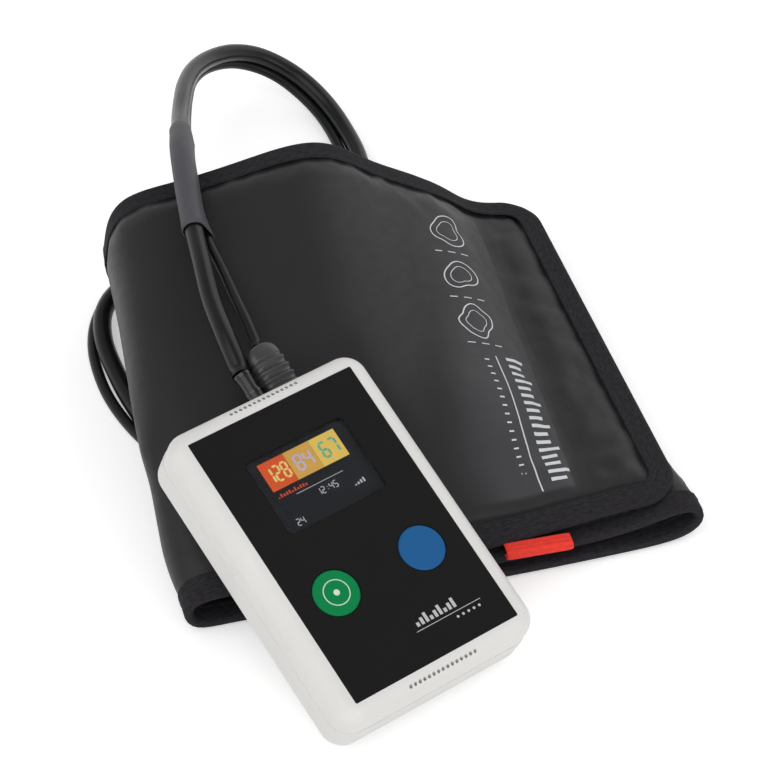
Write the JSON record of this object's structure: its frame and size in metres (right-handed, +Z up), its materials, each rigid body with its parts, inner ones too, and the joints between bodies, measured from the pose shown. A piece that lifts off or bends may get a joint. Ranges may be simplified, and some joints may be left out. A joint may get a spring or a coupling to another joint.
{
  "type": "ambulatory blood pressure monitor",
  "caption": "Pocket blood pressure recorder with display window, start and event keys and battery door, joined by an air hose and a microphone lead to a rolled arm cuff.",
  "frame": {"origin": "on the floor below the middle of the recorder and the cuff, leads not counted", "axes": "+Z up from the surface it lies on, +X along the wrap of the cuff from its left fold to its right fold, +Y along the cuff's width from its near edge to its far edge"},
  "size_m": [0.166, 0.3001, 0.0636],
  "materials": {
    "case_white": "fine matt moulded plastic",
    "case_rear": "fine matt moulded plastic",
    "panel": "glossy dark film",
    "window": "clear hard-coated window",
    "display": "liquid crystal glass",
    "green_key": "green key cap",
    "blue_key": "blue key cap",
    "bare_metal": "plated metal",
    "board": "green solder resist",
    "dark_part": "dark moulded plastic",
    "light_part": "pale moulded plastic",
    "cell": "bare metal sleeve",
    "lead_black": "smooth black soft plastic",
    "sleeve_grey": "grey shrink tube",
    "plug_grey": "soft grip",
    "cuff_cloth": "coated nylon, satin",
    "cuff_inside": "brushed nylon",
    "bladder": "thin rubber",
    "binding": "woven tape",
    "hook": "hook pile",
    "loop": "loop pile",
    "tag_red": "ribbed elastic tape"
  },
  "bodies": {
    "recorder_and_cuff": {"front_shell": "case_white", "rear_shell": "case_rear", "front_overlay": "panel", "display_window": "window", "display_module": "display", "start_switch": "bare_metal", "event_switch": "bare_metal", "circuit_board": "board", "processor_chip": "dark_part", "buzzer": "dark_part", "pump_motor": "bare_metal", "pump_head": "dark_part", "valve_body": "dark_part", "air_manifold": "light_part", "pressure_sensor": "light_part", "battery_left": "cell", "battery_right": "cell", "battery_springs": "bare_metal", "battery_contacts": "bare_metal", "case_screw_1": "bare_metal", "case_screw_2": "bare_metal", "case_screw_3": "bare_metal", "case_screw_4": "bare_metal", "air_socket": "bare_metal", "mic_socket": "dark_part", "air_coupling": "lead_black", "mic_plug": "plug_grey", "air_hose": "lead_black", "air_hose_coil": "lead_black", "mic_cable": "lead_black", "mic_cable_coil": "lead_black", "lead_sleeve": "sleeve_grey", "cuff_cover": "cuff_cloth", "cuff_lining": "cuff_inside", "cuff_bladder": "bladder", "cuff_binding": "binding", "hook_panel": "hook", "loop_panel": "loop", "size_tag": "tag_red", "hose_port": "dark_part"},
    "start_button": {"start_button": "green_key"},
    "event_button": {"event_button": "blue_key"},
    "battery_door": {"battery_door": "case_rear"},
    "pump_rotor": {"pump_rotor": "bare_metal"},
    "valve_plunger": {"valve_plunger": "bare_metal"}
  },
  "joints": [
    {"name": "start_press", "type": "slide", "parent": "recorder_and_cuff", "child": "start_button", "axis": [-0.1599, 0.3418, -0.9261], "range_m": [0, 0.0008], "stiffness_N_per_m": 1500},
    {"name": "event_press", "type": "slide", "parent": "recorder_and_cuff", "child": "event_button", "axis": [-0.1599, 0.3418, -0.9261], "range_m": [0, 0.0008], "stiffness_N_per_m": 1500},
    {"name": "door_slide", "type": "slide", "parent": "recorder_and_cuff", "child": "battery_door", "axis": [0.3214, -0.869, -0.3762], "range_m": [0, 0.004]},
    {"name": "pump_turn", "type": "hinge", "parent": "recorder_and_cuff", "child": "pump_rotor", "pos_m": [-0.05488, -0.02451, 0.03969], "axis": [0.9333, 0.3578, -0.0291], "continuous": true},
    {"name": "valve_stroke", "type": "slide", "parent": "recorder_and_cuff", "child": "valve_plunger", "axis": [0.9333, 0.3578, -0.0291], "range_m": [0, 0.0012], "stiffness_N_per_m": 400}
  ]
}
